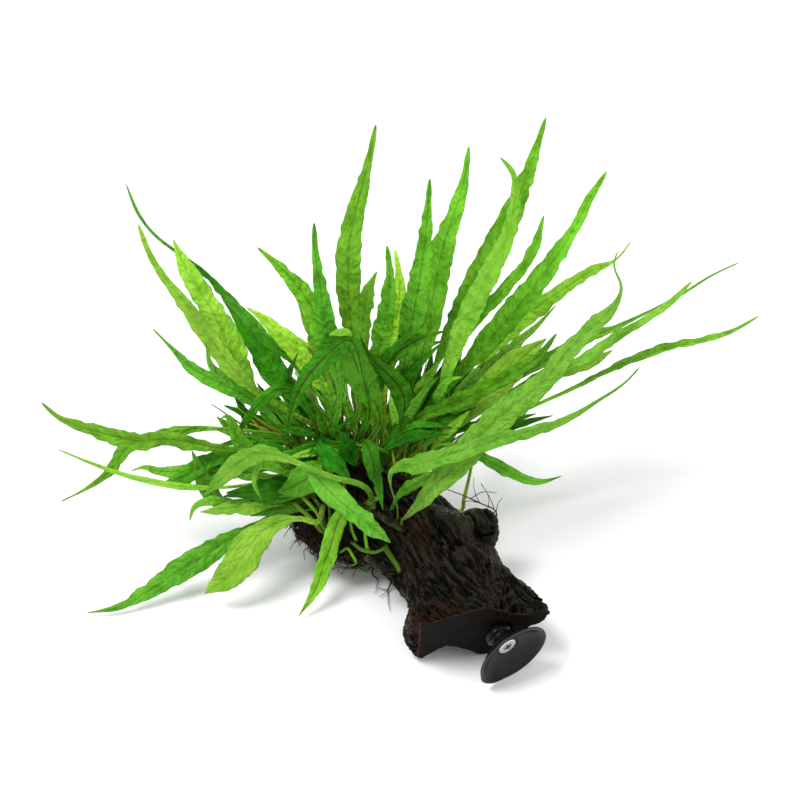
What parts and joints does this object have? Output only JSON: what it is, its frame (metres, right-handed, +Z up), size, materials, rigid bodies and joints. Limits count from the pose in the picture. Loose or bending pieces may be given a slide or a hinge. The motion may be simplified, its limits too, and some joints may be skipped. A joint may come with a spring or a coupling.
{
  "type": "java fern on driftwood",
  "caption": "Java fern with long ruffled fronds rooted on a short driftwood log, with a suction cup screwed to the log's sawn end.",
  "frame": {"origin": "middle of the overall footprint, on the plane that the log's foot and the cup's rim stand on", "axes": "+Z up from the log's flat foot; +X along the fan of fronds, toward the cup's side; -Y toward the log's sawn end"},
  "size_m": [0.2883, 0.1808, 0.196],
  "materials": {
    "driftwood": "wet, nearly black, fissured along the grain",
    "rubber": "smooth satin, dark grey",
    "steel": "bright stainless",
    "roots": "matt felt of fine brown roots",
    "rhizome": "waxy green stem with brown scales",
    "frond_light": "waxy, light green with a brown midrib",
    "frond_green": "waxy, mid green with a brown midrib",
    "frond_dark": "waxy, dark green with a brown midrib"
  },
  "bodies": {
    "root": {"driftwood": "driftwood", "suction_cup": "rubber", "suction_screw": "steel", "root_mat": "roots", "rhizome_1": "rhizome", "rhizome_2": "rhizome", "rhizome_3": "rhizome", "rhizome_4": "rhizome", "frond_01": "frond_green", "frond_02": "frond_green", "frond_03": "frond_green", "frond_04": "frond_dark", "frond_05": "frond_light", "frond_06": "frond_dark", "frond_07": "frond_green", "frond_08": "frond_green", "frond_09": "frond_green", "frond_10": "frond_light", "frond_11": "frond_green", "frond_12": "frond_green", "frond_13": "frond_light", "frond_14": "frond_light", "frond_15": "frond_dark", "frond_16": "frond_light", "frond_17": "frond_dark", "frond_18": "frond_light", "frond_19": "frond_green", "frond_20": "frond_light", "frond_21": "frond_dark", "frond_22": "frond_dark", "frond_23": "frond_light", "frond_24": "frond_dark", "frond_25": "frond_light", "frond_26": "frond_light", "frond_27": "frond_dark", "frond_28": "frond_light", "frond_29": "frond_green", "frond_30": "frond_green", "frond_31": "frond_dark", "frond_32": "frond_light", "frond_33": "frond_dark", "frond_34": "frond_green", "frond_35": "frond_dark", "frond_36": "frond_light", "frond_37": "frond_light", "frond_38": "frond_light", "frond_39": "frond_dark", "frond_40": "frond_green", "frond_41": "frond_light", "frond_42": "frond_green", "frond_43": "frond_light", "frond_44": "frond_dark", "frond_45": "frond_green", "frond_46": "frond_dark", "frond_47": "frond_dark", "frond_48": "frond_dark", "frond_49": "frond_green", "frond_50": "frond_dark", "frond_51": "frond_green", "frond_52": "frond_dark"}
  },
  "joints": []
}
